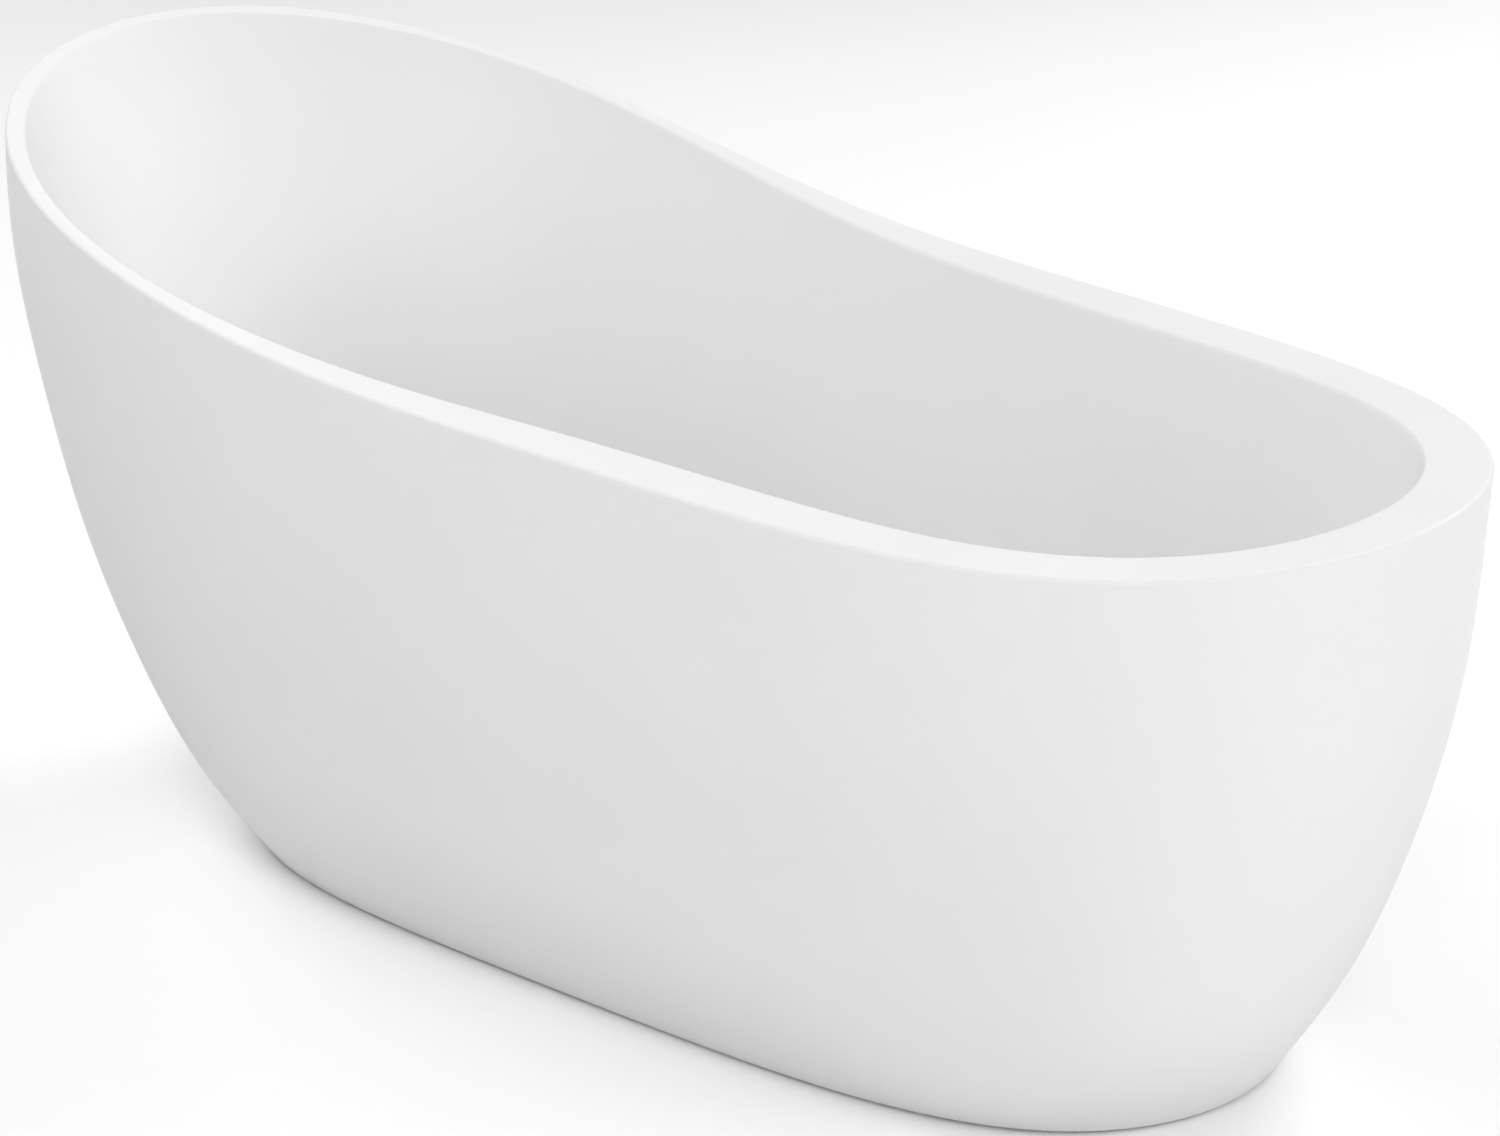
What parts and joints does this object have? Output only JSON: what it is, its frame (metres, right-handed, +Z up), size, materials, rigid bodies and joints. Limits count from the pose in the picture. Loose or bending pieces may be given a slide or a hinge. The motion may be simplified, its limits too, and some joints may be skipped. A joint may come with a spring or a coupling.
{
  "type": "freestanding bathtub",
  "caption": "Single-slipper freestanding solid-surface bathtub with flat rim, double shell, levelling feet, click-clack waste and slotted overflow.",
  "frame": {"origin": "on the floor under the middle of the tub's box", "axes": "+X towards the low foot end with the waste, -X towards the high head end, +Z up"},
  "size_m": [1.7053, 0.7465, 0.7358],
  "materials": {
    "solid_surface": "matte cast solid surface",
    "galvanised_steel": "galvanised",
    "zinc_plated": "zinc plated",
    "pad_rubber": "moulded",
    "chrome_trim": "polished",
    "seal_rubber": "matte",
    "waste_plastic": "moulded",
    "brass_parts": "machined",
    "spring_steel": "drawn wire",
    "hose_plastic": "corrugated"
  },
  "bodies": {
    "tub": {"basin": "solid_surface", "outer_skirt": "solid_surface", "bearer_head": "galvanised_steel", "bearer_foot": "galvanised_steel", "foot_bushes": "zinc_plated", "foot_lock_nuts": "zinc_plated", "waste_flange": "chrome_trim", "waste_seal_upper": "seal_rubber", "waste_seal_lower": "seal_rubber", "waste_locknut": "waste_plastic", "waste_body": "waste_plastic", "plug_cartridge": "brass_parts", "click_spring": "spring_steel", "overflow_trim": "chrome_trim", "overflow_seal": "seal_rubber", "overflow_box": "waste_plastic", "overflow_box_seal": "seal_rubber", "overflow_screw": "spring_steel", "overflow_hose": "hose_plastic", "hose_clamps": "spring_steel"},
    "plug": {"plug_cap": "chrome_trim", "plug_seal": "seal_rubber", "plug_stem": "brass_parts"},
    "foot_1": {"foot_pad_1": "pad_rubber"},
    "stud_1": {"foot_stud_1": "zinc_plated"},
    "foot_2": {"foot_pad_2": "pad_rubber"},
    "stud_2": {"foot_stud_2": "zinc_plated"},
    "foot_3": {"foot_pad_3": "pad_rubber"},
    "stud_3": {"foot_stud_3": "zinc_plated"},
    "foot_4": {"foot_pad_4": "pad_rubber"},
    "stud_4": {"foot_stud_4": "zinc_plated"}
  },
  "joints": [
    {"name": "plug_click", "type": "slide", "parent": "tub", "child": "plug", "axis": [0, 0, 1], "range_m": [-0.009, 0], "stiffness_N_per_m": 350, "springref_m": 0.012, "deforming": ["click_spring"]},
    {"name": "foot_1_height", "type": "slide", "parent": "tub", "child": "foot_1", "axis": [0, 0, 1], "range_m": [-0.02, 0]},
    {"name": "stud_1_turn", "type": "hinge", "parent": "foot_1", "child": "stud_1", "pos_m": [-0.27, -0.14, 0.05], "axis": [0, 0, 1], "range_deg": [-4115, 1]},
    {"name": "foot_2_height", "type": "slide", "parent": "tub", "child": "foot_2", "axis": [0, 0, 1], "range_m": [-0.02, 0]},
    {"name": "stud_2_turn", "type": "hinge", "parent": "foot_2", "child": "stud_2", "pos_m": [-0.27, 0.14, 0.05], "axis": [0, 0, 1], "range_deg": [-4115, 1]},
    {"name": "foot_3_height", "type": "slide", "parent": "tub", "child": "foot_3", "axis": [0, 0, 1], "range_m": [-0.02, 0]},
    {"name": "stud_3_turn", "type": "hinge", "parent": "foot_3", "child": "stud_3", "pos_m": [0.3, -0.14, 0.05], "axis": [0, 0, 1], "range_deg": [-4115, 1]},
    {"name": "foot_4_height", "type": "slide", "parent": "tub", "child": "foot_4", "axis": [0, 0, 1], "range_m": [-0.02, 0]},
    {"name": "stud_4_turn", "type": "hinge", "parent": "foot_4", "child": "stud_4", "pos_m": [0.3, 0.14, 0.05], "axis": [0, 0, 1], "range_deg": [-4115, 1]}
  ],
  "couplings": [
    {"joint": "stud_1_turn", "follows": "foot_1_height", "rad_per_m": 3590.4},
    {"joint": "stud_2_turn", "follows": "foot_2_height", "rad_per_m": 3590.4},
    {"joint": "stud_3_turn", "follows": "foot_3_height", "rad_per_m": 3590.4},
    {"joint": "stud_4_turn", "follows": "foot_4_height", "rad_per_m": 3590.4}
  ]
}
